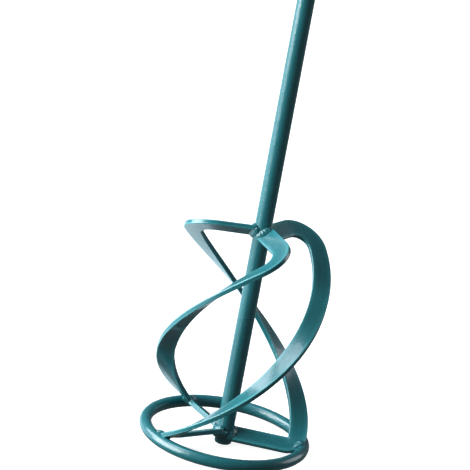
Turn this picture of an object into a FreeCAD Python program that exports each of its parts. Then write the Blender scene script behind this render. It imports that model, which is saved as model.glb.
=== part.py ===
"""Mortar mixing paddle: three helical flat-bar blades welded to a round shaft and a bottom ring.

Units are millimetres, +Z up.  The origin is the centre of the shaft's lower end face, and the
shaft runs up the Z axis to its threaded drive end.  Every shape here is a separate solid: bar
stock, a turned drive stud, and the weld beads that hold them together.
"""
import FreeCAD, Part
import math
import os

os.makedirs("parts", exist_ok=True)
Vector = FreeCAD.Vector
UP = Vector(0, 0, 1)

# ---- driving dimensions -------------------------------------------------------------------
overall_length = 600.0       # lower end face to the tip of the drive thread
shaft_diameter = 14.0        # round bar
shaft_foot_chamfer = 1.2     # broken edge at the lower end

ring_outer_diameter = 140.0  # the size the paddle is sold by
ring_bar_diameter = 10.0     # round bar the ring is rolled from
ring_underside = 3.0         # the shaft's foot stands this far below the ring
ring_joint_angle = 84.0      # where the ring's two ends meet, degrees from +X

flat_width = 15.0            # blade flat bar
flat_thickness = 4.0
blade_count = 3
cage_height = 175.5          # ring's centre plane to the top arms' centre line
first_arm_angle = -63.0      # top arm of blade 1, degrees from +X
arm_length = 27.0            # straight part of a top arm, from the shaft's surface
top_bend_radius = 22.0       # edgewise bends, at the bar's centre line
bottom_bend_radius = 9.0
top_turn = 93.5              # how far the bar turns in the top bend, degrees
run_length = 229.5           # helical part of a blade
run_bow = -6.3               # turn given back half way down the run, which bows it outwards

# Descent angle of the helix, degrees: at its two ends, and what is added half way down.
pitch_top = 22.0
pitch_bottom = 36.0
pitch_middle_extra = 17.5

# Tilt of the bar's width about its own length, degrees: at its two ends, and half way down.
cant_top = 17.0
cant_bottom = 9.5
cant_middle_extra = -21.0

# The blades are bent and set by hand, so the three differ a little.
blade_turned = (0.0, -0.5, 11.5)    # round the shaft, degrees
blade_raised = (1.0, -3.0, 1.5)     # along the shaft
blade_steeper = (4.3, -3.5, -0.3)   # added to the bottom descent angle, degrees
blade_longer = (-14.5, -0.5, -0.5)  # added to the helical part's length

thread_diameter = 13.9       # M14 male thread, over its crests
thread_length = 25.0
thread_tip_chamfer = 1.4
hex_across_flats = 22.0      # spanner hexagon of the drive stud
hex_height = 12.0
hex_chamfer = 1.2

arm_bite = 1.0               # an arm's end is coped this deep to fit the shaft
bead_radius = 3.0            # weld lumps at the shaft
ring_bead_radius = 2.4       # weld lumps at the ring
lumps_per_bead = 4
bead_spread = 0.8            # the outermost lumps' centres, as a share of the bar's half width
bead_lift = 0.4              # a lump's centre stands this far off the faces that it joins
butt_bead_radius = 1.0       # bead round the ring's own joint
butt_bead_depth = 0.3        # how far that bead's middle line lies under the ring's surface
drive_bead_radius = 2.0      # bead round the foot of the drive stud

# How finely a blade is described.
station = 4.0                # spacing of the sections along a blade
steps_per_station = 8        # steps of the centre line between two sections
spans_per_blade = 16         # faces along each side of a blade
places_across = 41           # places tried across a blade's face to find the ring's edge

# ---- sizes that follow --------------------------------------------------------------------
shaft_radius = shaft_diameter / 2
ring_bar_radius = ring_bar_diameter / 2
ring_radius = ring_outer_diameter / 2 - ring_bar_radius
ring_height = ring_underside + ring_bar_radius
hex_foot = overall_length - thread_length - hex_height


def write(name, shape):
    """Write one named sub-part as a STEP file."""
    shape.exportStep("parts/" + name + ".step")


def largest_solid(shape):
    """Keep the main body of a cut, without slivers."""
    return max(shape.Solids, key=lambda solid: solid.Volume)


def radial(angle):
    """Unit vector pointing outwards at an angle in radians."""
    return Vector(math.cos(angle), math.sin(angle), 0)


# ---- shaft --------------------------------------------------------------------------------
# One length of round bar from the foot to the drive stud.
def make_shaft():
    """Plain round bar, its edge broken at the foot where it meets the bottom of the bucket."""
    bar = Part.makeCylinder(shaft_radius, hex_foot)
    foot = [edge for edge in bar.Edges if edge.BoundBox.ZMax < 1e-6]
    return bar.makeChamfer(shaft_foot_chamfer, foot)


# ---- drive stud ---------------------------------------------------------------------------
# A turned piece butt-welded on the shaft's top end: a spanner hexagon under an M14 male thread.
def make_drive_stud():
    """Hexagon with turned corners and a plain cylinder over the thread's crests."""
    corner_radius = hex_across_flats / 2 / math.cos(math.pi / 6)
    corners = [radial(math.radians(60 * k)) * corner_radius for k in range(7)]
    prism = Part.Face(Part.makePolygon(corners)).extrude(UP * hex_height)
    blank = Part.makeCylinder(corner_radius, hex_height)
    rims = [edge for edge in blank.Edges if edge.BoundBox.ZLength < 1e-6]
    hexagon = prism.common(blank.makeChamfer(hex_chamfer, rims))
    thread = Part.makeCylinder(thread_diameter / 2, thread_length, Vector(0, 0, hex_height))
    tip = [edge for edge in thread.Edges if edge.BoundBox.ZMin > hex_height + thread_length - 1e-6]
    thread = thread.makeChamfer(thread_tip_chamfer, tip)
    stud = hexagon.fuse(thread).removeSplitter()
    stud.translate(Vector(0, 0, hex_foot))
    return stud


# ---- ring ---------------------------------------------------------------------------------
# Round bar rolled to a hoop; its two ends meet in a butt weld.
def make_ring():
    """Full hoop of round bar, level, centred on the shaft."""
    return Part.makeTorus(ring_radius, ring_bar_radius, Vector(0, 0, ring_height), UP)


# ---- blades -------------------------------------------------------------------------------
# Each blade is one length of flat bar: a straight top arm, an edgewise bend, a right-handed
# helical run, a tight edgewise bend on the ring, and a straight bottom arm back to the shaft.
def blade_sections(blade):
    """Corner points of the bar's section at every station along the centre line.

    The centre line is stepped forwards in cylindrical coordinates.  `turn` is its direction in
    the bar's own plane (0 outwards, 90 down the helix, 180 inwards) and `pitch` is how steeply
    that plane descends.
    """
    longer = run_length + blade_longer[blade]
    bend_end = arm_length + top_bend_radius * math.radians(top_turn)
    run_end = bend_end + longer
    last_bend = bottom_bend_radius * math.radians(180 - top_turn)
    whole = run_end + last_bend
    bottom_pitch = pitch_bottom + blade_steeper[blade]
    angle = math.radians(
        first_arm_angle + blade * 360 / blade_count + blade_turned[blade]
    )
    height = ring_height + cage_height + blade_raised[blade]
    start = shaft_radius - arm_bite
    radius, travelled = start, -arm_bite
    step = station / steps_per_station
    sections = []
    count = 0
    while True:
        along = min(travelled / whole, 1.0)
        if travelled < arm_length:
            turn = 0.0
        elif travelled < bend_end:
            turn = math.degrees((travelled - arm_length) / top_bend_radius)
        elif travelled < run_end:
            share = (travelled - bend_end) / longer
            turn = top_turn + run_bow * 4 * share * (1 - share)
        elif travelled < whole:
            turn = top_turn + math.degrees((travelled - run_end) / bottom_bend_radius)
        else:
            turn = 180.0
        swell = 4 * along * (1 - along)
        pitch = pitch_top + (bottom_pitch - pitch_top) * along + pitch_middle_extra * swell
        cant = cant_top * (1 - along) + cant_bottom * along + cant_middle_extra * swell
        done = travelled > whole and radius <= start
        # A last section too near the one before it replaces it.
        if done and count % steps_per_station < steps_per_station / 2:
            sections.pop()
        if count % steps_per_station == 0 or done:
            sections.append(section(radius, angle, height, turn, pitch, cant))
        if done:
            return sections
        sideways = step * math.sin(math.radians(turn))
        radius += step * math.cos(math.radians(turn))
        angle -= sideways * math.cos(math.radians(pitch)) / radius
        height -= sideways * math.sin(math.radians(pitch))
        travelled += step
        count += 1


def section(radius, angle, height, turn, pitch, cant):
    """Four corners of the flat bar at one station, with its width and thickness directions."""
    turn, pitch, cant = math.radians(turn), math.radians(pitch), math.radians(cant)
    outwards = radial(angle)
    round_the_shaft = Vector(-math.sin(angle), math.cos(angle), 0)
    downhill = -round_the_shaft * math.cos(pitch) - UP * math.sin(pitch)
    along = outwards * math.cos(turn) + downhill * math.sin(turn)
    width = outwards * math.sin(turn) - downhill * math.cos(turn)
    normal = along.cross(width)
    width, normal = (
        width * math.cos(cant) + normal * math.sin(cant),
        normal * math.cos(cant) - width * math.sin(cant),
    )
    centre = outwards * radius + UP * height
    half_width, half_thickness = width * flat_width / 2, normal * flat_thickness / 2
    return {
        "centre": centre,
        "width": width,
        "normal": normal,
        "along": along,
        "corners": (
            centre + half_width + half_thickness,
            centre - half_width + half_thickness,
            centre - half_width - half_thickness,
            centre + half_width - half_thickness,
        ),
    }


def make_bar(sections):
    """Solid bar through the sections.

    A smooth curve runs through each of the four corners, ruled faces join neighbouring curves,
    and flat faces close the ends.  The curves are divided into spans of a few sections each, so
    that every face is short.
    """
    last = len(sections) - 1
    breaks = [round(last * k / spans_per_blade) for k in range(spans_per_blade + 1)]
    corner_edges = []
    for corner in range(4):
        curve = Part.BSplineCurve()
        points = [one["corners"][corner] for one in sections]
        curve.interpolate(Points=points, Parameters=[float(k) for k in range(last + 1)])
        spans = []
        for first, final in zip(breaks, breaks[1:]):
            span = curve.copy()
            span.segment(first, final)
            spans.append(span.toShape())
        corner_edges.append(spans)
    faces = [
        Part.makeRuledSurface(near, far)
        for k in range(4)
        for near, far in zip(corner_edges[k], corner_edges[(k + 1) % 4])
    ]
    for end in (sections[0], sections[-1]):
        outline = list(end["corners"]) + [end["corners"][0]]
        faces.append(Part.Face(Part.makePolygon(outline)))
    skin = Part.makeCompound(faces)
    skin.sewShape()
    solid = Part.Solid(skin.Shells[0])
    if solid.Volume < 0:
        solid.reverse()
    return solid


# ---- welds --------------------------------------------------------------------------------
# Hand-laid beads: each is a row of overlapping lumps, trimmed where it lies on the bars.
def make_bead(points, radius, laid_on):
    """Overlapping balls fused in a row, less every piece that they are laid against."""
    bead = Part.makeSphere(radius, points[0])
    for point in points[1:]:
        bead = bead.fuse(Part.makeSphere(radius, point))
    near = [piece for piece in laid_on if piece.BoundBox.intersect(bead.BoundBox)]
    return largest_solid(bead.cut(near))


def shaft_joint(end, side):
    """Points along the corner between an arm's upper (+1) or lower (-1) face and the shaft."""
    centre = end["centre"]
    outwards = Vector(centre.x, centre.y, 0).normalize()
    sideways = UP.cross(outwards)
    upper = 1 if end["normal"].z > 0 else -1
    points = []
    for lump in range(lumps_per_bead):
        share = (2 * lump / (lumps_per_bead - 1) - 1) * bead_spread
        offset = end["width"] * (share * flat_width / 2)
        offset += end["normal"] * (upper * side * (flat_thickness / 2 + bead_lift))
        across = offset.dot(sideways)
        reach = math.sqrt(shaft_radius**2 - across**2) + bead_lift
        points.append(outwards * reach + sideways * across + UP * (centre.z + offset.z))
    return points


def ring_joint(sections, side):
    """Points down the line where an upper (+1) or lower (-1) blade face enters the ring.

    At each station the places across the face are tried in turn, and the first that lies
    within a bead's lift of the ring's bar is kept.
    """
    points = []
    for one in sections[len(sections) // 2 :]:
        upper = 1 if one["normal"].z > 0 else -1
        face = one["centre"] + one["normal"] * (upper * side * (flat_thickness / 2 + bead_lift))
        for place in range(places_across):
            across = (place / (places_across - 1) - 0.5) * flat_width
            point = face + one["width"] * across
            from_axis = math.hypot(point.x, point.y)
            from_bar = math.hypot(from_axis - ring_radius, point.z - ring_height)
            if from_bar < ring_bar_radius + bead_lift:
                points.append(point)
                break
    return points


def make_ring_butt_weld(ring):
    """Low bead round the bar where the ring's two ends are butted together."""
    angle = math.radians(ring_joint_angle)
    along = Vector(-math.sin(angle), math.cos(angle), 0)
    middle = radial(angle) * ring_radius + UP * ring_height
    bead_line = ring_bar_radius - butt_bead_depth
    return Part.makeTorus(bead_line, butt_bead_radius, middle, along).cut(ring)


def make_drive_weld(shaft, stud):
    """Fillet bead round the top of the shaft, under the drive stud's hexagon."""
    bead = Part.makeTorus(shaft_radius, drive_bead_radius, Vector(0, 0, hex_foot), UP)
    return bead.cut(shaft).cut(stud)


# ---- the whole paddle ---------------------------------------------------------------------
shaft = make_shaft()
drive_stud = make_drive_stud()
ring = make_ring()
write("shaft", shaft)
write("drive_stud", drive_stud)
write("drive_weld", make_drive_weld(shaft, drive_stud))
write("ring", ring)
write("ring_butt_weld", make_ring_butt_weld(ring))

all_sections = [blade_sections(number) for number in range(blade_count)]
placed = [shaft, ring]
for number, sections in enumerate(all_sections):
    blade = largest_solid(make_bar(sections).cut(shaft).cut(ring))
    write(f"blade_{number + 1}", blade)
    placed.append(blade)

for number, sections in enumerate(all_sections):
    for side, face in ((1, "upper"), (-1, "lower")):
        rows = (
            ("top_weld", shaft_joint(sections[0], side), bead_radius),
            ("bottom_weld", shaft_joint(sections[-1], side), bead_radius),
            ("ring_weld", ring_joint(sections, side), ring_bead_radius),
        )
        for name, points, radius in rows:
            bead = make_bead(points, radius, placed)
            write(f"{name}_{face}_{number + 1}", bead)
            placed.append(bead)
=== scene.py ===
"""Mortar mixing paddle: the finished look of each welded piece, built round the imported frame.

Lengths that describe a piece are in millimetres and are turned to metres where its points are
made.  The paddle stands on the foot of its shaft at the origin, with the shaft up +Z.
"""

import math

import bpy
import numpy as np
from mathutils import Matrix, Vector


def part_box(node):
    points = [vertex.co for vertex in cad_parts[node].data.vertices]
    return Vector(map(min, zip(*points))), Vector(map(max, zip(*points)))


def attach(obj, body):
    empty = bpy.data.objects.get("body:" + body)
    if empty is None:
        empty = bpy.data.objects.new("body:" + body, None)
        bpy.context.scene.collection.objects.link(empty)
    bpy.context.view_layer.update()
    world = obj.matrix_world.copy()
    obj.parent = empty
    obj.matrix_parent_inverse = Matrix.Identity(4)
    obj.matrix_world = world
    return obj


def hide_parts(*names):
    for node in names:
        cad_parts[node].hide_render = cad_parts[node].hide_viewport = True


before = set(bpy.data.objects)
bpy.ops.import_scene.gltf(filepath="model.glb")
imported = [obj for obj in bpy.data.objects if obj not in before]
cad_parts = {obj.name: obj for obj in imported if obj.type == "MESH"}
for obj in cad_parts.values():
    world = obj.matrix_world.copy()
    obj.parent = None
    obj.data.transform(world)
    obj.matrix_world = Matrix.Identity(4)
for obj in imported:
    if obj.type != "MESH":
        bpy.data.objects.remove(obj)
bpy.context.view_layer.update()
MM = 0.001

# ---- Camera -------------------------------------------------------------------------------
# A long lens four metres away and a little above the ring.  It is rolled, so that the upright
# shaft leans to the right, and it frames the cage of blades and the lower part of the shaft.
view_elevation = math.radians(19.64)
camera_roll = math.radians(10.6)
camera_distance = 4.0
view_width = 0.3821
ring_right_of_view = -0.0087
ring_above_view = -0.1609
sensor_width = 36.0

ring_low, ring_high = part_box("ring")
ring_middle = np.array((ring_low + ring_high) / 2)
backwards = np.array([0.0, -math.cos(view_elevation), math.sin(view_elevation)])
level = np.array([1.0, 0.0, 0.0])
upright = np.cross(backwards, level)
view_right = math.cos(camera_roll) * level + math.sin(camera_roll) * upright
view_up = math.cos(camera_roll) * upright - math.sin(camera_roll) * level
camera_place = ring_middle + backwards * camera_distance
camera_place -= view_right * ring_right_of_view + view_up * ring_above_view

camera_data = bpy.data.cameras.new("camera")
camera_data.sensor_width = sensor_width
camera_data.lens = sensor_width * camera_distance / view_width
camera = bpy.data.objects.new("camera", camera_data)
bpy.context.scene.collection.objects.link(camera)
camera_axes = np.eye(4)
camera_axes[:3] = np.column_stack([view_right, view_up, backwards, camera_place])
camera.matrix_world = Matrix(camera_axes.tolist())
bpy.context.scene.camera = camera

# ---- Shaft --------------------------------------------------------------------------------
# Drawn round bar, cut to length with the foot's edge broken on a grinder, then dipped with the
# rest of the cage in teal baking enamel.  The enamel hides the drawing marks but not the
# bar's very slight waviness.
shaft_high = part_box("shaft")[1]
shaft_radius = shaft_high.x / MM
shaft_top = shaft_high.z / MM
foot_round = 1.3
foot_round_rows = 7
foot_cap_margin = 1.0
first_row_above_round = 0.5
shaft_columns = 96
shaft_row_spacing = 6.0


def linear(hex_colour):
    """Scene-linear RGBA of an sRGB hex colour such as "#2f8c98"."""
    parts = [int(hex_colour[k : k + 2], 16) / 255 for k in (1, 3, 5)]
    return [c / 12.92 if c <= 0.04045 else ((c + 0.055) / 1.055) ** 2.4 for c in parts] + [1.0]


def add_node(tree, kind, inputs=None, **settings):
    """Adds one shader node; `inputs` gives a socket a value or another node's output."""
    node = tree.nodes.new(kind)
    for name, value in settings.items():
        setattr(node, name, value)
    for name, value in (inputs or {}).items():
        if isinstance(value, bpy.types.NodeSocket):
            tree.links.new(value, node.inputs[name])
        else:
            node.inputs[name].default_value = value
    return node


def baking_enamel():
    """Gloss baking enamel over mild steel.

    To the eye it is a smooth coloured film with soft highlights, slightly dimpled like the skin
    of an orange, a little uneven in depth, paler along the edges where the film runs thinner and
    where a highlight is painted into the colour, and specked with a few dust nibs.
    """
    # The palest teal is for the edges: film running thinner there, and a painted highlight along
    # them.
    deep, usual, thin_film_and_highlight = "#195f67", "#25747c", "#4aa9b2"
    coat, coat_roughness = 0.55, 0.14
    dull_roughness, glossy_roughness = 0.34, 0.22
    mottle_mm, peel_mm, wave_mm, nib_mm = 45.0, 1.8, 9.0, 7.0
    nib_share_of_cell = 0.05
    # A real film is only some hundredths of a millimetre uneven, which would not show from here,
    # so its waves, dimples and nibs are drawn deeper than they are.
    wave_depth, wave_strength = 0.5 * MM, 0.6
    peel_depth, peel_strength = 0.3 * MM, 0.7
    nib_depth, nib_strength = 0.12 * MM, 0.6
    material = bpy.data.materials.new("teal_baking_enamel")
    material.use_nodes = True
    tree = material.node_tree
    shader = tree.nodes["Principled BSDF"]
    shader.inputs["IOR"].default_value = 1.5
    shader.inputs["Coat Weight"].default_value = coat
    shader.inputs["Coat Roughness"].default_value = coat_roughness
    place = add_node(tree, "ShaderNodeTexCoord").outputs["Object"]
    mottle = add_node(
        tree, "ShaderNodeTexNoise", {"Vector": place, "Scale": 1 / (mottle_mm * MM), "Detail": 3.0}
    )
    depth = add_node(
        tree,
        "ShaderNodeMix",
        {6: linear(deep), 7: linear(usual), "Factor": mottle.outputs["Fac"]},
        data_type="RGBA",
    )
    # Nearness to an arris, where the enamel is drawn paler as thinner film and as a painted
    # highlight.
    edge = add_node(tree, "ShaderNodeAttribute", attribute_name="arris")
    paler_edge_share = add_node(
        tree,
        "ShaderNodeMath",
        {0: edge.outputs["Fac"], 1: mottle.outputs["Fac"]},
        operation="MULTIPLY",
    )
    # Paler teal along the arrises, in patches: thinner film, and a painted highlight along the
    # edges.
    colour = add_node(
        tree,
        "ShaderNodeMix",
        {6: depth.outputs[2], 7: linear(thin_film_and_highlight), "Factor": paler_edge_share.outputs[0]},
        data_type="RGBA",
    )
    tree.links.new(colour.outputs[2], shader.inputs["Base Color"])
    gloss = add_node(
        tree,
        "ShaderNodeMapRange",
        {
            "Value": mottle.outputs["Fac"],
            "To Min": dull_roughness,
            "To Max": glossy_roughness,
        },
    )
    tree.links.new(gloss.outputs[0], shader.inputs["Roughness"])
    wave = add_node(
        tree, "ShaderNodeTexNoise", {"Vector": place, "Scale": 1 / (wave_mm * MM), "Detail": 1.0}
    )
    peel = add_node(
        tree, "ShaderNodeTexNoise", {"Vector": place, "Scale": 1 / (peel_mm * MM), "Detail": 1.0}
    )
    nib = add_node(
        tree, "ShaderNodeTexVoronoi", {"Vector": place, "Scale": 1 / (nib_mm * MM)}
    )
    nib_height = add_node(
        tree,
        "ShaderNodeMapRange",
        {
            "Value": nib.outputs["Distance"],
            "From Max": nib_share_of_cell,
            "To Min": 1.0,
            "To Max": 0.0,
        },
    )
    wavy = add_node(
        tree,
        "ShaderNodeBump",
        {"Height": wave.outputs["Fac"], "Distance": wave_depth, "Strength": wave_strength},
    )
    dimpled = add_node(
        tree,
        "ShaderNodeBump",
        {
            "Height": peel.outputs["Fac"],
            "Distance": peel_depth,
            "Strength": peel_strength,
            "Normal": wavy.outputs[0],
        },
    )
    specked = add_node(
        tree,
        "ShaderNodeBump",
        {
            "Height": nib_height.outputs[0],
            "Distance": nib_depth,
            "Strength": nib_strength,
            "Normal": dimpled.outputs[0],
        },
    )
    tree.links.new(specked.outputs[0], shader.inputs["Normal"])
    return material


def closed_surface(name, points, poles=None):
    """Object whose mesh is a grid of points, given in millimetres.

    The columns of the grid wrap round.  The rows wrap round too, or are closed by a fan of
    triangles onto a pole at each end.  If the volume inside comes out negative, every face is
    turned round, so that they all point outwards.
    """
    rows, columns = points.shape[:2]
    index = np.arange(rows * columns).reshape(rows, columns)
    vertices = points.reshape(-1, 3)
    fans = np.empty((0, 3), int)
    if poles is None:
        index = np.vstack([index, index[:1]])
    else:
        first, last = index[0], index[-1]
        start = np.full(columns, rows * columns)
        fans = np.concatenate(
            [
                np.stack([np.roll(first, -1), first, start], -1),
                np.stack([last, np.roll(last, -1), start + 1], -1),
            ]
        )
        vertices = np.vstack([vertices, poles])
    here, there = index[:-1], index[1:]
    quads = np.stack([here, np.roll(here, -1, 1), np.roll(there, -1, 1), there], -1).reshape(-1, 4)
    corners = np.concatenate([quads[:, :3], quads[:, [0, 2, 3]], fans])
    a, b, c = (vertices[corners[:, k]] for k in range(3))
    if (a * np.cross(b, c)).sum() < 0:
        quads, fans = quads[:, ::-1], fans[:, ::-1]
    mesh = bpy.data.meshes.new(name)
    mesh.from_pydata((vertices * MM).tolist(), [], quads.tolist() + fans.tolist())
    mesh.polygons.foreach_set("use_smooth", np.ones(len(mesh.polygons), bool))
    piece = bpy.data.objects.new(name, mesh)
    bpy.context.scene.collection.objects.link(piece)
    return piece


def revolved(radii, heights, columns):
    """Points of a turned shape: each row is a circle of its own radius at its own height."""
    angle = np.linspace(0, 2 * math.pi, columns, endpoint=False)
    radii = np.asarray(radii, float)
    if radii.ndim == 1:
        radii = radii[:, None]
    flat = np.stack([radii * np.cos(angle), radii * np.sin(angle)], -1)
    tall = np.broadcast_to(np.asarray(heights, float)[:, None, None], flat.shape[:2] + (1,))
    return np.concatenate([flat, tall], -1)


enamel = baking_enamel()
corner = np.linspace(0, math.pi / 2, foot_round_rows)
foot_radii = shaft_radius - foot_round + foot_round * np.sin(corner)
foot_heights = foot_round - foot_round * np.cos(corner)
body_heights = np.arange(foot_round + first_row_above_round, shaft_top, shaft_row_spacing)
cap_radius = shaft_radius - foot_round - foot_cap_margin
body_radii = np.full(len(body_heights) + 1, shaft_radius)
shaft_points = revolved(
    np.concatenate([[cap_radius], foot_radii, body_radii]),
    np.concatenate([[0], foot_heights, body_heights, [shaft_top]]),
    shaft_columns,
)
shaft = closed_surface("shaft_bar", shaft_points, [[0, 0, 0], [0, 0, shaft_top]])
shaft.data.materials.append(enamel)
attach(shaft, "root")
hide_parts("shaft")

# ---- Ring ---------------------------------------------------------------------------------
# Steel round bar rolled to a hoop and welded to the three blades, which it keeps off the
# bucket's wall.  Rolling leaves the bar a hair flatter on its inner side, under the same enamel.
ring_bar_radius = (ring_high.z - ring_low.z) / 2 / MM
ring_radius = ring_high.x / MM - ring_bar_radius
ring_level = ring_middle[2] / MM
ring_rows, ring_columns = 360, 48
ring_flatter_inside = 0.03


def hoop(radius, bar_radius, level_z, rows, columns, flatter):
    """Points of a torus: a circle of the bar's radius carried round a level circle.

    `flatter` pulls the inner side of the section outwards by that share of the bar's radius.
    """
    round_ring = np.linspace(0, 2 * math.pi, rows, endpoint=False)[:, None]
    round_bar = np.linspace(0, 2 * math.pi, columns, endpoint=False)[None, :]
    inner = np.clip(-np.cos(round_bar), 0, 1) ** 4
    reach = radius + bar_radius * np.cos(round_bar) * (1 - flatter * inner)
    height = level_z + bar_radius * np.sin(round_bar) + 0 * round_ring
    return np.stack([reach * np.cos(round_ring), reach * np.sin(round_ring), height], -1)


ring_points = hoop(
    ring_radius, ring_bar_radius, ring_level, ring_rows, ring_columns, ring_flatter_inside
)
ring = closed_surface("ring_bar", ring_points)
ring.data.materials.append(enamel)
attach(ring, "root")
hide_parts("ring")

# ---- Blades -------------------------------------------------------------------------------
# Three lengths of hot-rolled flat bar, each bent on edge twice and twisted into a right-handed
# helix in a jig.  Hot rolling leaves the arrises softly rounded; the enamel is paler there, partly
# as film running thinner and partly as a painted highlight along the edges.
# The blades differ a little, as hand-set pieces do.
blade_count = 3
flat_width, flat_thickness, arris_radius = 15.0, 4.0, 0.7
arris_points, arris_margin = 5, 0.3
arm_bite = 1.0
cage_height = 175.5
first_arm_angle = -63.0
arm_length = 27.0
top_bend_radius, bottom_bend_radius = 22.0, 9.0
top_turn = 93.5
run_length, run_bow = 229.5, -6.3
pitch_top, pitch_bottom, pitch_middle_extra = 22.0, 36.0, 17.5
cant_top, cant_bottom, cant_middle_extra = 17.0, 9.5, -21.0
blade_turned = (0.0, -0.5, 11.5)
blade_raised = (1.0, -3.0, 1.5)
blade_steeper = (4.3, -3.5, -0.3)
blade_longer = (-14.5, -0.5, -0.5)
path_step = 0.5
stations_per_row = 2


def blade_path(number):
    """Centre line of a blade, with the directions of its width, thickness and outward radius.

    The bar's direction in its own plane turns from outwards (0) to down the helix (90) to inwards
    (180), straight in the arms, on circles in the bends and nearly constant in the run.  Radius,
    angle and height are the running sums of small steps in that direction, with the plane
    descending at the pitch angle.
    """
    longer = run_length + blade_longer[number]
    bend_end = arm_length + top_bend_radius * math.radians(top_turn)
    run_end = bend_end + longer
    whole = run_end + bottom_bend_radius * math.radians(180 - top_turn)
    travelled = np.arange(-arm_bite, whole + ring_radius, path_step)
    share = (travelled - bend_end) / longer
    turn = np.select(
        [travelled < arm_length, travelled < bend_end, travelled < run_end, travelled < whole],
        [
            0 * travelled,
            np.degrees((travelled - arm_length) / top_bend_radius),
            top_turn + run_bow * 4 * share * (1 - share),
            top_turn + np.degrees((travelled - run_end) / bottom_bend_radius),
        ],
        180.0,
    )
    along = np.clip(travelled / whole, 0, 1)
    swell = 4 * along * (1 - along)
    bottom_pitch = pitch_bottom + blade_steeper[number]
    pitch = pitch_top + (bottom_pitch - pitch_top) * along + pitch_middle_extra * swell
    cant = cant_top * (1 - along) + cant_bottom * along + cant_middle_extra * swell
    turn, pitch, cant = np.radians(turn), np.radians(pitch), np.radians(cant)

    start = shaft_radius - arm_bite
    outward_steps = np.cumsum(path_step * np.cos(turn))
    radius = start + np.concatenate([[0], outward_steps[:-1]])
    kept = (travelled <= whole) | (radius > start)
    sideways = path_step * np.sin(turn)
    turned = np.cumsum(sideways * np.cos(pitch) / (start + outward_steps))
    sunk = np.cumsum(sideways * np.sin(pitch))
    arm_angle = first_arm_angle + 360 / blade_count * number + blade_turned[number]
    angle = math.radians(arm_angle) - np.concatenate([[0], turned[:-1]])
    arm_height = ring_level + cage_height + blade_raised[number]
    height = arm_height - np.concatenate([[0], sunk[:-1]])
    radius, angle, height = radius[kept], angle[kept], height[kept]
    turn, pitch, cant = (value[kept][:, None] for value in (turn, pitch, cant))

    zero = 0 * angle
    outwards = np.stack([np.cos(angle), np.sin(angle), zero], -1)
    round_shaft = np.stack([-np.sin(angle), np.cos(angle), zero], -1)
    upwards = np.array([0.0, 0.0, 1.0])
    downhill = -round_shaft * np.cos(pitch) - upwards * np.sin(pitch)
    forward = outwards * np.cos(turn) + downhill * np.sin(turn)
    width = outwards * np.sin(turn) - downhill * np.cos(turn)
    normal = np.cross(forward, width)
    width, normal = (
        width * np.cos(cant) + normal * np.sin(cant),
        normal * np.cos(cant) - width * np.sin(cant),
    )
    centre = outwards * radius[:, None] + upwards * height[:, None]
    return {"centre": centre, "width": width, "normal": normal, "outwards": outwards}


def flat_bar_section():
    """Outline of the rolled flat bar, and how close each of its points is to an arris.

    Quarter circles at the four corners, joined by straight sides that have an extra point close
    to each corner and a few between.
    """
    half_width, half_thickness = flat_width / 2, flat_thickness / 2
    quarter = np.linspace(0, math.pi / 2, arris_points)
    outline, nearness = [], []
    middles = [(1, 1), (-1, 1), (-1, -1), (1, -1)]
    for k, (x, y) in enumerate(middles):
        centre = np.array([x * (half_width - arris_radius), y * (half_thickness - arris_radius)])
        sweep = quarter + k * math.pi / 2
        arc = centre + arris_radius * np.stack([np.cos(sweep), np.sin(sweep)], -1)
        x2, y2 = middles[(k + 1) % 4]
        far = np.array([x2 * (half_width - arris_radius), y2 * (half_thickness - arris_radius)])
        far = far + arris_radius * np.array([math.cos(sweep[-1]), math.sin(sweep[-1])])
        length = np.linalg.norm(far - arc[-1])
        margin = arris_margin / length
        shares = np.array([margin, 0.25, 0.5, 0.75, 1 - margin])
        side = arc[-1] + (far - arc[-1]) * shares[:, None]
        outline += [arc, side]
        nearness += [np.ones(len(arc)), np.array([0.5, 0, 0, 0, 0.5])]
    return np.concatenate(outline), np.concatenate(nearness)


def bar_along(path, outline):
    """Points of the outline carried along a path, with both ends drawn in to close them.

    Each row of points is the centre plus the outline's two coordinates along the width and
    thickness directions.  The first and last rows are repeated at smaller sizes.
    """
    drawn_in = np.array([0.5, 0.93, 0.985])
    scale = np.concatenate([drawn_in, np.ones(len(path["centre"])), drawn_in[::-1]])
    pad = (len(drawn_in), len(drawn_in))
    centre, width, normal = (
        np.pad(path[key], (pad, (0, 0)), mode="edge") for key in ("centre", "width", "normal")
    )
    across = (scale[:, None] * outline[:, 0])[..., None] * width[:, None]
    through = (scale[:, None] * outline[:, 1])[..., None] * normal[:, None]
    return centre[:, None] + across + through, [centre[0], centre[-1]]


outline, arris_nearness = flat_bar_section()
blade_paths = [blade_path(number) for number in range(blade_count)]
for number, path in enumerate(blade_paths):
    thinned = {key: value[::stations_per_row] for key, value in path.items()}
    points, ends = bar_along(thinned, outline)
    blade = closed_surface(f"blade_bar_{number + 1}", points, ends)
    # The arris attribute marks where the enamel is painted paler: thinner film and a painted
    # highlight.
    arris = blade.data.attributes.new("arris", "FLOAT", "POINT")
    nearness = np.concatenate([np.tile(arris_nearness, len(points)), [0, 0]])
    arris.data.foreach_set("value", nearness.astype(np.float32))
    blade.data.materials.append(enamel)
    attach(blade, "root")
    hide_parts(f"blade_{number + 1}")

# ---- Welds at the shaft -------------------------------------------------------------------
# Short beads laid by hand on both faces of every arm where it meets the shaft.  Each is a row of
# overlapping crescents, one for every dip of the rod, swollen and uneven where the rod lingered,
# all under the same enamel.
shaft_bead_radius = 3.1
shaft_bead_spread = 0.88
bead_lift = 0.2
dip_spacing = 2.6
crown_lag = 0.42
crescent_power = 0.7
bead_low, crescent_height, lump_height = 0.9, 0.1, 0.06
bead_tall, bead_wide = 0.85, 1.3
end_fullness = 5
bead_rows, bead_columns = 120, 36


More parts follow.
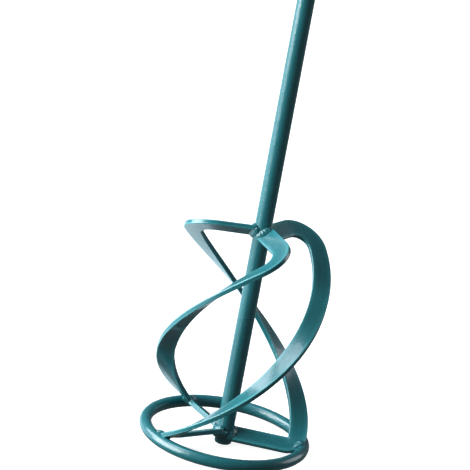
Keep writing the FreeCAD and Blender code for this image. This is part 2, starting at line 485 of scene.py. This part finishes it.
def bead(path_points, out_of_corner, radius, seed, closed=False):
    """Points of a weld bead: a tube round a path, with rounded ends unless it is closed.

    The tube's radius rises and falls once for every dip along the path, later at the bead's crown
    than at its toes, which makes crescents, and wanders by a few slow waves of seeded phase.
    """
    rows = len(path_points)
    steps = np.linalg.norm(np.diff(path_points, axis=0), axis=1)
    travelled = np.concatenate([[0], np.cumsum(steps)])
    if closed:
        forward = np.roll(path_points, -1, 0) - np.roll(path_points, 1, 0)
        whole = travelled[-1] + steps[-1]
        taper = np.ones(rows)
    else:
        forward = np.gradient(path_points, axis=0)
        whole = travelled[-1]
        taper = np.sqrt(1 - np.abs(2 * travelled / whole - 1) ** end_fullness)
    forward = forward / np.linalg.norm(forward, axis=1, keepdims=True)
    crown = out_of_corner - (out_of_corner * forward).sum(1, keepdims=True) * forward
    crown = crown / np.linalg.norm(crown, axis=1, keepdims=True)
    toe = np.cross(forward, crown)
    angle = np.linspace(0, 2 * math.pi, bead_columns, endpoint=False)[None, :]
    along = (travelled / whole)[:, None]
    dips = round(whole / dip_spacing)
    phase = dips * along - crown_lag * np.cos(angle)
    crescent = np.abs(np.sin(math.pi * phase)) ** crescent_power
    chance = np.random.default_rng(seed)
    wander = 0 * phase
    for waves in (1, 2, 3, 4, 5):
        lift, turn = chance.uniform(0, 2 * math.pi, 2)
        lumps = np.sin(2 * math.pi * waves * along + lift) * np.cos(waves * angle + turn)
        wander = wander + lumps / math.sqrt(waves)
    uneven = bead_low + crescent_height * crescent + lump_height * wander
    size = radius * taper[:, None] * uneven
    across = (bead_tall * size * np.cos(angle))[..., None] * crown[:, None]
    sideways = (bead_wide * size * np.sin(angle))[..., None] * toe[:, None]
    return path_points[:, None] + across + sideways


def shaft_corner(path, end, side):
    """Path of a bead along the corner between an arm's face and the shaft, and its way out.

    Each point is where a line across the arm's upper (+1) or lower (-1) face meets the shaft's
    surface.
    """
    centre, outwards = path["centre"][end], path["outwards"][end]
    width, normal = path["width"][end], path["normal"][end]
    facing = side * math.copysign(1, normal[2]) * normal
    share = np.linspace(-shaft_bead_spread, shaft_bead_spread, bead_rows)[1:-1, None]
    offset = share * flat_width / 2 * width + facing * (flat_thickness / 2)
    round_shaft = np.cross([0, 0, 1.0], outwards)
    across = offset @ round_shaft
    reach = np.sqrt(shaft_radius**2 - across**2)
    points = outwards * reach[:, None] + round_shaft * across[:, None]
    points[:, 2] = centre[2] + offset[:, 2]
    way_out = outwards + facing
    return points + bead_lift * way_out, np.broadcast_to(way_out, points.shape)


def weld(name, points, way_out, radius, seed):
    """Bead closed at both ends, in enamel, standing for the frame's plain bead of that name."""
    surface = bead(points, way_out, radius, seed)
    piece = closed_surface(name + "_bead", surface[1:-1], [points[0], points[-1]])
    piece.data.materials.append(enamel)
    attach(piece, "root")
    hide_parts(name)


for number, path in enumerate(blade_paths):
    for face, side in (("upper", 1), ("lower", -1)):
        for place, end in (("top", 0), ("bottom", -1)):
            points, way_out = shaft_corner(path, end, side)
            seed = 10 * number + 2 * (side > 0) + (end == 0)
            weld(f"{place}_weld_{face}_{number + 1}", points, way_out, shaft_bead_radius, seed)

# ---- Welds at the ring --------------------------------------------------------------------
# A short bead laid by hand on each face of a blade, down the line where the bar enters the ring.
# It is uneven in the same way as the beads at the shaft, and under the same enamel.
ring_bead_radius = 3.0
ring_bead_seed = 50
tries_across = 61
lean_to_shaft = 0.6


def ring_corner(path, side):
    """Path of a bead down the line where a blade's upper or lower face enters the ring.

    For each station in the blade's lower half, points are tried across the face from its inner
    edge outwards, and the first that lies inside the ring's bar is taken.
    """
    half = len(path["centre"]) // 2
    centre, width, normal = (path[key][half:] for key in ("centre", "width", "normal"))
    facing = side * np.sign(normal[:, 2:]) * normal
    shares = np.linspace(-1, 1, tries_across)
    face = centre + facing * flat_thickness / 2
    tried = face[:, None] + shares[None, :, None] * (flat_width / 2) * width[:, None]
    from_circle = np.hypot(tried[..., 0], tried[..., 1]) - ring_radius
    inside = np.hypot(from_circle, tried[..., 2] - ring_level) < ring_bar_radius
    reached = inside.any(1)
    points = tried[np.arange(len(tried)), inside.argmax(1)][reached]
    towards_shaft = -np.stack([points[:, 0], points[:, 1], 0 * points[:, 0]], -1) / ring_radius
    way_out = facing[reached] + lean_to_shaft * towards_shaft
    points = points + bead_lift * way_out
    wanted = np.linspace(0, len(points) - 1, bead_rows)
    even = [np.interp(wanted, np.arange(len(points)), values) for values in (*points.T, *way_out.T)]
    return np.stack(even[:3], -1), np.stack(even[3:], -1)


for number, path in enumerate(blade_paths):
    for face, side in (("upper", 1), ("lower", -1)):
        points, way_out = ring_corner(path, side)
        seed = ring_bead_seed + number
        weld(f"ring_weld_{face}_{number + 1}", points, way_out, ring_bead_radius, seed)

# ---- Ring's own joint ---------------------------------------------------------------------
# The hoop's two ends are butted and welded all round.  The bead is ground down until it stands
# only a little proud of the bar, and is enamelled with the rest.
joint_angle = math.radians(84.0)
butt_bead_radius = 1.0
butt_bead_sunk = 0.45
butt_bead_seed = 80
round_bar = np.linspace(0, 2 * math.pi, bead_rows, endpoint=False)[:, None]
joint_outwards = np.array([math.cos(joint_angle), math.sin(joint_angle), 0])
bar_outwards = joint_outwards * np.cos(round_bar) + np.array([0, 0, 1.0]) * np.sin(round_bar)
joint_middle = joint_outwards * ring_radius + np.array([0, 0, ring_level])
butt_path = joint_middle + bar_outwards * (ring_bar_radius - butt_bead_sunk)
butt_points = bead(butt_path, bar_outwards, butt_bead_radius, butt_bead_seed, closed=True)
butt_bead = closed_surface("ring_butt_bead", butt_points)
butt_bead.data.materials.append(enamel)
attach(butt_bead, "root")
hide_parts("ring_butt_weld")

# ---- Drive stud ---------------------------------------------------------------------------
# Turned from hexagon bar: a 22 mm spanner hexagon with its corners chamfered on the lathe, and
# an M14 x 2 thread cut above it.  It is left bare and lightly oiled, so that it runs true in the
# machine's spindle.
stud_low, stud_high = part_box("drive_stud")
stud_foot, stud_tip = stud_low.z / MM, stud_high.z / MM
hex_half_across_flats = stud_high.y / MM
hex_corner_radius = stud_high.x / MM
hex_height, hex_chamfer = 12.0, 1.2
hex_end_band, hex_end_rows = 1.6, 14
hex_flat_margin, hex_flat_rows = 2.0, 6
thread_radius, thread_pitch, thread_tip_chamfer = 6.95, 2.0, 1.4
thread_depth_per_pitch = 0.6134
thread_depth = thread_depth_per_pitch * thread_pitch
thread_crest, thread_flanks = 0.125, 0.625
thread_runout = 2.5
thread_row_spacing, end_allowance = 0.1, 0.001
cap_inner, cap_rim = 0.5, 0.97
stud_columns = 180


def turned_steel():
    """Bare free-cutting steel, turned and oiled.

    To the eye it is a grey metal with fine rings from the tool above the hexagon, brighter on the
    crests of the thread and darker down in its roots, where oil and dust have gathered.
    """
    bright, oily = "#a19e98", "#4b4640"
    smooth_roughness, dull_roughness = 0.34, 0.52
    oily_flank, least_stain = 0.3, 0.2
    patch_mm = 6.0
    # A finishing tool leaves rings finer than these, which are drawn coarser so that they show.
    ring_mm, ring_depth, ring_strength = 0.35, 0.01 * MM, 0.5
    material = bpy.data.materials.new("turned_oiled_steel")
    material.use_nodes = True
    tree = material.node_tree
    shader = tree.nodes["Principled BSDF"]
    shader.inputs["Metallic"].default_value = 1.0
    place = add_node(tree, "ShaderNodeTexCoord").outputs["Object"]
    flat = add_node(tree, "ShaderNodeVectorMath", {0: place, 1: (1, 1, 0)}, operation="MULTIPLY")
    out = add_node(tree, "ShaderNodeVectorMath", {0: flat.outputs[0]}, operation="LENGTH")
    root = add_node(
        tree,
        "ShaderNodeMapRange",
        {
            "Value": out.outputs["Value"],
            "From Min": (thread_radius - thread_depth) * MM,
            "From Max": (thread_radius - oily_flank * thread_depth) * MM,
            "To Min": 1.0,
            "To Max": 0.0,
        },
    )
    patch = add_node(tree, "ShaderNodeTexNoise", {"Vector": place, "Scale": 1 / (patch_mm * MM)})
    stain = add_node(
        tree,
        "ShaderNodeMath",
        {0: root.outputs[0], 1: patch.outputs["Fac"], 2: least_stain},
        operation="MULTIPLY_ADD",
    )
    colour = add_node(
        tree,
        "ShaderNodeMix",
        {6: linear(bright), 7: linear(oily), "Factor": stain.outputs[0]},
        data_type="RGBA",
    )
    tree.links.new(colour.outputs[2], shader.inputs["Base Color"])
    rough = add_node(
        tree,
        "ShaderNodeMapRange",
        {
            "Value": patch.outputs["Fac"],
            "To Min": smooth_roughness,
            "To Max": dull_roughness,
        },
    )
    tree.links.new(rough.outputs[0], shader.inputs["Roughness"])
    upwards = add_node(tree, "ShaderNodeSeparateXYZ", {0: place})
    rings = add_node(
        tree,
        "ShaderNodeMath",
        {0: upwards.outputs["Z"], 1: 2 * math.pi / (ring_mm * MM)},
        operation="MULTIPLY",
    )
    wave = add_node(tree, "ShaderNodeMath", {0: rings.outputs[0]}, operation="SINE")
    turned = add_node(
        tree,
        "ShaderNodeMath",
        {0: upwards.outputs["Z"], 1: (stud_foot + hex_height) * MM},
        operation="GREATER_THAN",
    )
    marks = add_node(
        tree,
        "ShaderNodeMath",
        {0: wave.outputs[0], 1: turned.outputs[0]},
        operation="MULTIPLY",
    )
    bump = add_node(
        tree,
        "ShaderNodeBump",
        {"Height": marks.outputs[0], "Distance": ring_depth, "Strength": ring_strength},
    )
    tree.links.new(bump.outputs[0], shader.inputs["Normal"])
    return material


def drive_stud_points():
    """Points of the stud, as circles whose radius changes with both angle and height.

    In the hexagon the radius is the flat's distance over the cosine of the angle from the flat's
    middle, cut off by the chamfer's cone at both ends.  In the thread it is a trapezoid wave of
    height minus turn times pitch, cut off by the cone at the tip.
    """
    angle = np.linspace(0, 2 * math.pi, stud_columns, endpoint=False)[None, :]
    from_flat = np.mod(angle, math.pi / 3) - math.pi / 6
    hexagon = hex_half_across_flats / np.cos(from_flat)
    hex_rows = np.concatenate(
        [
            np.linspace(0, hex_end_band, hex_end_rows),
            np.linspace(hex_flat_margin, hex_height - hex_flat_margin, hex_flat_rows),
            np.linspace(hex_height - hex_end_band, hex_height, hex_end_rows),
        ]
    )[:, None]
    cone = hex_corner_radius - hex_chamfer + np.minimum(hex_rows, hex_height - hex_rows)
    hex_radii = np.minimum(hexagon, cone)
    thread_height = stud_tip - stud_foot - hex_height
    up = np.arange(0, thread_height + end_allowance, thread_row_spacing)[:, None]
    saw = np.abs(2 * np.mod(up / thread_pitch - angle / (2 * math.pi), 1.0) - 1)
    groove = np.clip((saw - thread_crest) / thread_flanks, 0, 1)
    cut = groove * np.clip(up / thread_runout, 0, 1)
    tip_cone = thread_radius - thread_tip_chamfer + (up[-1] - up)
    thread_radii = np.minimum(thread_radius - thread_depth * cut, tip_cone)
    step_shares = np.array([[0.03], [0.5], [0.97]])
    shoulder = hex_radii[-1] + (thread_radii[0] - hex_radii[-1]) * step_shares
    foot_cap = [hex_radii[:1] * cap_inner, hex_radii[:1] * cap_rim]
    tip_cap = [thread_radii[-1:] * cap_rim, thread_radii[-1:] * cap_inner]
    radii = np.concatenate([*foot_cap, hex_radii, shoulder, thread_radii, *tip_cap])
    shoulder_heights = np.full(len(step_shares), hex_height)
    heights = np.concatenate([[0, 0], hex_rows[:, 0], shoulder_heights, hex_height + up[:, 0]])
    heights = stud_foot + np.concatenate([heights, heights[-1:], heights[-1:]])
    return revolved(radii, heights, stud_columns)


stud_ends = [[0, 0, stud_foot], [0, 0, stud_tip]]
stud = closed_surface("threaded_drive_stud", drive_stud_points(), stud_ends)
stud.data.materials.append(turned_steel())
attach(stud, "root")
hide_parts("drive_stud")

# ---- Weld under the drive stud ------------------------------------------------------------
# One bead run by hand right round the shaft, in the corner under the hexagon.  It holds the
# stud to the shaft, and the enamel stops on it.
drive_bead_radius = 2.0
drive_bead_rows = 160
drive_bead_sunk, drive_bead_drop = 0.1, 0.2
drive_bead_seed = 90
round_shaft = np.linspace(0, 2 * math.pi, drive_bead_rows, endpoint=False)[:, None]
shaft_outwards = np.concatenate([np.cos(round_shaft), np.sin(round_shaft), 0 * round_shaft], 1)
drive_level = np.array([0, 0, stud_foot - drive_bead_drop])
drive_path = shaft_outwards * (shaft_radius - drive_bead_sunk) + drive_level
drive_way_out = shaft_outwards - np.array([0, 0, 1.0])
drive_points = bead(drive_path, drive_way_out, drive_bead_radius, drive_bead_seed, closed=True)
drive_bead = closed_surface("drive_stud_bead", drive_points)
drive_bead.data.materials.append(enamel)
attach(drive_bead, "root")
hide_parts("drive_weld")

# ---- Floor and light ----------------------------------------------------------------------
# A plain pale floor, soft lamps on the left, a low glow as from a white table top on that side,
# and a weak lamp behind on the right.
floor_half = 12.0
floor_roughness, floor_glow = 0.9, 0.88
floor_mesh = bpy.data.meshes.new("floor")
floor_corners = [(-floor_half, -floor_half, 0), (floor_half, -floor_half, 0)]
floor_corners += [(floor_half, floor_half, 0), (-floor_half, floor_half, 0)]
floor_mesh.from_pydata(floor_corners, [], [(0, 1, 2, 3)])
floor = bpy.data.objects.new("floor", floor_mesh)
bpy.context.scene.collection.objects.link(floor)
floor_paint = bpy.data.materials.new("matt_white_floor")
floor_paint.use_nodes = True
floor_shader = floor_paint.node_tree.nodes["Principled BSDF"]
floor_shader.inputs["Base Color"].default_value = linear("#c4c4c2")
floor_shader.inputs["Roughness"].default_value = floor_roughness
floor_shader.inputs["Emission Color"].default_value = linear("#ffffff")
floor_shader.inputs["Emission Strength"].default_value = floor_glow
floor_mesh.materials.append(floor_paint)
floor.visible_diffuse = False
floor.visible_glossy = False


def lamp(name, place, target, size, power, colour):
    """Square soft lamp at a place, in metres, turned to face its target."""
    data = bpy.data.lights.new(name, "AREA")
    data.size, data.energy, data.color = size, power, linear(colour)[:3]
    piece = bpy.data.objects.new(name, data)
    bpy.context.scene.collection.objects.link(piece)
    piece.visible_camera = False
    back = np.array(place, float) - np.array(target, float)
    back = back / np.linalg.norm(back)
    side = np.cross([0.0, 0.0, 1.0], back)
    side = side / np.linalg.norm(side)
    axes = np.eye(4)
    axes[:3] = np.column_stack([side, np.cross(back, side), back, place])
    piece.matrix_world = Matrix(axes.tolist())


middle_of_cage = (0, 0, 0.12)
lamp("key_lamp", (-1.65, -0.4, 0.55), middle_of_cage, 1.6, 80.0, "#ffffff")
lamp("side_lamp", (-1.65, 0.75, 0.95), middle_of_cage, 0.9, 20.0, "#e6f4ff")
lamp("high_lamp", (-1.2, 0.05, 1.85), middle_of_cage, 0.9, 20.0, "#e6f4ff")
lamp("table_glow", (-0.68, 0.3, 0.005), (-0.64, 0.28, 1.0), 1.3, 8.0, "#cbe7f3")
lamp("fill_lamp", (1.7, 0.8, 0.7), middle_of_cage, 1.2, 10.0, "#f2f7ff")

world = bpy.data.worlds.new("studio")
bpy.context.scene.world = world
world.use_nodes = True
surroundings = world.node_tree.nodes["Background"]
surroundings.inputs["Color"].default_value = linear("#f4f7f8")
surroundings.inputs["Strength"].default_value = 0.12
bpy.context.scene.view_settings.view_transform = "Standard"
